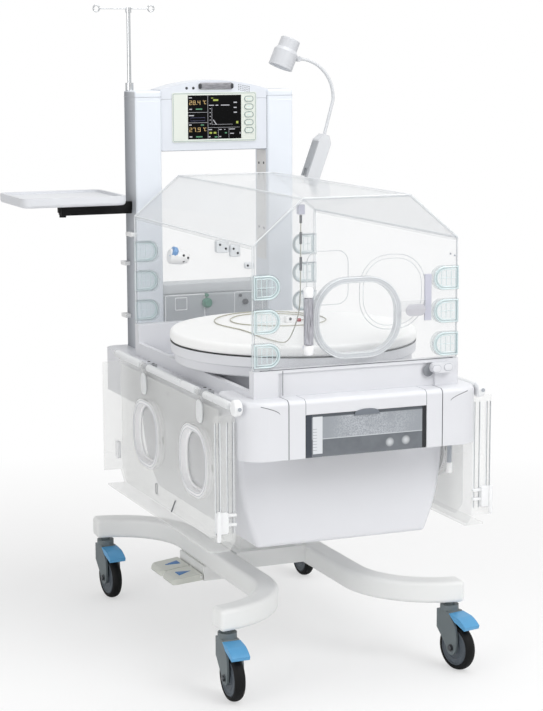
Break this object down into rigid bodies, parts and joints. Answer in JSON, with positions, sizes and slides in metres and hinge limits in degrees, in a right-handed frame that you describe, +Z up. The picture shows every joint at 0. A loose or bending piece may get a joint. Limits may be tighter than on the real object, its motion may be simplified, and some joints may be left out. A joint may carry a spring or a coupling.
{
  "type": "infant incubator",
  "caption": "Infant incubator with a clear hood, hinged side doors with hand ports, a turning mattress, a lifting cabinet, columns with a monitor, and a swivel caster stand.",
  "frame": {"origin": "on the floor, at the centre of the rectangle of the four caster stems", "axes": "+Z up, +Y to the rear where the columns stand, +X to the user's right when facing the front casing"},
  "size_m": [1.0178, 1.24, 1.772],
  "materials": {
    "painted": "satin",
    "steel": "satin",
    "shell": "satin",
    "cable": "satin",
    "clear": "clear",
    "grommet": "translucent",
    "gasket": "matt",
    "fitting": "satin",
    "fabric": "wipe-clean cover",
    "fascia": "matt",
    "screen": "gloss",
    "caster_grey": "matt",
    "tyre": "matt",
    "brake_blue": "matt",
    "pedal": "matt"
  },
  "bodies": {
    "stand": {"left_leg": "painted", "right_leg": "painted", "cross_beam": "painted", "lift_outer_tube": "painted", "foot_pedal_bracket": "painted"},
    "cabinet": {"lift_inner_tube": "steel", "lower_housing": "shell", "deck": "shell", "front_casing": "shell", "casing_ends": "shell", "turntable_ring": "shell", "hood_frame": "shell", "front_wall": "clear", "rear_wall": "clear", "canopy": "clear", "tubing_grommets": "grommet", "front_port_gasket": "gasket", "front_port_fittings": "fitting", "door_hinges": "steel", "left_column": "painted", "right_column": "painted", "rear_console": "shell", "monitor_case": "shell", "monitor_fascia": "fascia", "monitor_screen": "screen", "iv_pole": "steel", "shelf_arm": "painted", "lamp_bracket": "painted", "sensor_cable": "cable", "sensor_pod": "shell"},
    "lower_pedal": {"lower_pedal": "pedal"},
    "raise_pedal": {"raise_pedal": "pedal"},
    "left_door": {"left_door": "clear", "left_door_gaskets": "gasket"},
    "right_door": {"right_door": "clear", "right_door_gaskets": "gasket"},
    "left_port_door_front": {"left_port_door_front": "clear"},
    "left_port_door_rear": {"left_port_door_rear": "clear"},
    "right_port_door_front": {"right_port_door_front": "clear"},
    "right_port_door_rear": {"right_port_door_rear": "clear"},
    "front_port_door": {"front_port_door": "clear"},
    "water_drawer": {"water_drawer": "clear"},
    "mattress": {"mattress_tray": "shell", "mattress": "fabric"},
    "hood_latch": {"hood_latch": "shell"},
    "shelf": {"shelf": "shell"},
    "lamp_handle": {"lamp_handle": "shell"},
    "lamp_head": {"lamp_head": "shell"},
    "caster_fork_front_left": {"caster_fork_front_left": "caster_grey"},
    "caster_wheel_front_left": {"caster_wheel_front_left": "tyre"},
    "brake_pedal_front_left": {"brake_pedal_front_left": "brake_blue"},
    "caster_fork_front_right": {"caster_fork_front_right": "caster_grey"},
    "caster_wheel_front_right": {"caster_wheel_front_right": "tyre"},
    "brake_pedal_front_right": {"brake_pedal_front_right": "brake_blue"},
    "caster_fork_rear_left": {"caster_fork_rear_left": "caster_grey"},
    "caster_wheel_rear_left": {"caster_wheel_rear_left": "tyre"},
    "brake_pedal_rear_left": {"brake_pedal_rear_left": "brake_blue"},
    "caster_fork_rear_right": {"caster_fork_rear_right": "caster_grey"},
    "caster_wheel_rear_right": {"caster_wheel_rear_right": "tyre"},
    "brake_pedal_rear_right": {"brake_pedal_rear_right": "brake_blue"}
  },
  "joints": [
    {"name": "cabinet_lift", "type": "slide", "parent": "stand", "child": "cabinet", "axis": [0, 0, 1], "range_m": [0, 0.2]},
    {"name": "caster_swivel_front_left", "type": "hinge", "parent": "stand", "child": "caster_fork_front_left", "pos_m": [-0.32, -0.511, 0.165], "axis": [0, 0, 1], "continuous": true},
    {"name": "wheel_spin_front_left", "type": "hinge", "parent": "caster_fork_front_left", "child": "caster_wheel_front_left", "pos_m": [-0.31999, -0.546, 0.0625], "axis": [1, 0.0002, 0], "continuous": true},
    {"name": "brake_press_front_left", "type": "hinge", "parent": "caster_fork_front_left", "child": "brake_pedal_front_left", "pos_m": [-0.31999, -0.544, 0.15], "axis": [1, 0.0002, 0], "range_deg": [0, 6]},
    {"name": "caster_swivel_front_right", "type": "hinge", "parent": "stand", "child": "caster_fork_front_right", "pos_m": [0.32, -0.511, 0.165], "axis": [0, 0, 1], "continuous": true},
    {"name": "wheel_spin_front_right", "type": "hinge", "parent": "caster_fork_front_right", "child": "caster_wheel_front_right", "pos_m": [0.32728, -0.54524, 0.0625], "axis": [0.9781, 0.2079, 0], "continuous": true},
    {"name": "brake_press_front_right", "type": "hinge", "parent": "caster_fork_front_right", "child": "brake_pedal_front_right", "pos_m": [0.32686, -0.54328, 0.15], "axis": [0.9781, 0.2079, 0], "range_deg": [0, 6]},
    {"name": "caster_swivel_rear_left", "type": "hinge", "parent": "stand", "child": "caster_fork_rear_left", "pos_m": [-0.32, 0.511, 0.165], "axis": [0, 0, 1], "continuous": true},
    {"name": "wheel_spin_rear_left", "type": "hinge", "parent": "caster_fork_rear_left", "child": "caster_wheel_rear_left", "pos_m": [-0.31695, 0.47613, 0.0625], "axis": [0.9962, 0.0872, 0], "continuous": true},
    {"name": "brake_press_rear_left", "type": "hinge", "parent": "caster_fork_rear_left", "child": "brake_pedal_rear_left", "pos_m": [-0.31712, 0.47813, 0.15], "axis": [0.9962, 0.0872, 0], "range_deg": [0, 6]},
    {"name": "caster_swivel_rear_right", "type": "hinge", "parent": "stand", "child": "caster_fork_rear_right", "pos_m": [0.32, 0.511, 0.165], "axis": [0, 0, 1], "continuous": true},
    {"name": "wheel_spin_rear_right", "type": "hinge", "parent": "caster_fork_rear_right", "child": "caster_wheel_rear_right", "pos_m": [0.32001, 0.476, 0.0625], "axis": [1, 0.0002, 0], "continuous": true},
    {"name": "brake_press_rear_right", "type": "hinge", "parent": "caster_fork_rear_right", "child": "brake_pedal_rear_right", "pos_m": [0.32001, 0.478, 0.15], "axis": [1, 0.0002, 0], "range_deg": [0, 6]},
    {"name": "lower_pedal_press", "type": "hinge", "parent": "stand", "child": "lower_pedal", "pos_m": [-0.176, 0.113, 0.152], "axis": [0, -1, 0], "range_deg": [0, 8], "stiffness_Nm_per_rad": 8, "springref_deg": -4.58},
    {"name": "raise_pedal_press", "type": "hinge", "parent": "stand", "child": "raise_pedal", "pos_m": [-0.176, 0.217, 0.152], "axis": [0, -1, 0], "range_deg": [0, 8], "stiffness_Nm_per_rad": 8, "springref_deg": -4.58},
    {"name": "left_door_swing", "type": "hinge", "parent": "cabinet", "child": "left_door", "pos_m": [-0.343, -0.1525, 0.778], "axis": [0, 1, 0], "range_deg": [0, 178]},
    {"name": "left_port_front_swing", "type": "hinge", "parent": "left_door", "child": "left_port_door_front", "pos_m": [-0.3267, -0.223, 0.59], "axis": [0, 0, 1], "range_deg": [0, 1.5]},
    {"name": "left_port_rear_swing", "type": "hinge", "parent": "left_door", "child": "left_port_door_rear", "pos_m": [-0.3267, 0.156, 0.59], "axis": [0, 0, 1], "range_deg": [0, 1.5]},
    {"name": "right_door_swing", "type": "hinge", "parent": "cabinet", "child": "right_door", "pos_m": [0.343, -0.1525, 0.778], "axis": [0, -1, 0], "range_deg": [0, 178]},
    {"name": "right_port_front_swing", "type": "hinge", "parent": "right_door", "child": "right_port_door_front", "pos_m": [0.3267, -0.223, 0.59], "axis": [0, 0, -1], "range_deg": [0, 1.5]},
    {"name": "right_port_rear_swing", "type": "hinge", "parent": "right_door", "child": "right_port_door_rear", "pos_m": [0.3267, 0.156, 0.59], "axis": [0, 0, -1], "range_deg": [0, 1.5]},
    {"name": "front_port_swing", "type": "hinge", "parent": "cabinet", "child": "front_port_door", "pos_m": [-0.141, -0.6193, 0.98], "axis": [0, 0, -1], "range_deg": [0, 110]},
    {"name": "water_drawer_slide", "type": "slide", "parent": "cabinet", "child": "water_drawer", "axis": [0, -1, 0], "range_m": [0, 0.15]},
    {"name": "mattress_turn", "type": "hinge", "parent": "cabinet", "child": "mattress", "pos_m": [0, -0.195, 0.854], "axis": [0, 0, 1], "continuous": true},
    {"name": "hood_latch_turn", "type": "hinge", "parent": "cabinet", "child": "hood_latch", "pos_m": [0.25, -0.62, 0.839], "axis": [0, -1, 0], "range_deg": [0, 60]},
    {"name": "shelf_swing", "type": "hinge", "parent": "cabinet", "child": "shelf", "pos_m": [-0.455, 0.4375, 1.203], "axis": [0, 0, 1], "continuous": true},
    {"name": "lamp_lean", "type": "hinge", "parent": "cabinet", "child": "lamp_handle", "pos_m": [0.325, 0.436, 1.25], "axis": [0, 1, 0], "range_deg": [-10, 15]},
    {"name": "lamp_head_tilt", "type": "hinge", "parent": "lamp_handle", "child": "lamp_head", "pos_m": [0.28797, 0.436, 1.61144], "axis": [0, 1, 0], "range_deg": [-25, 25]}
  ]
}
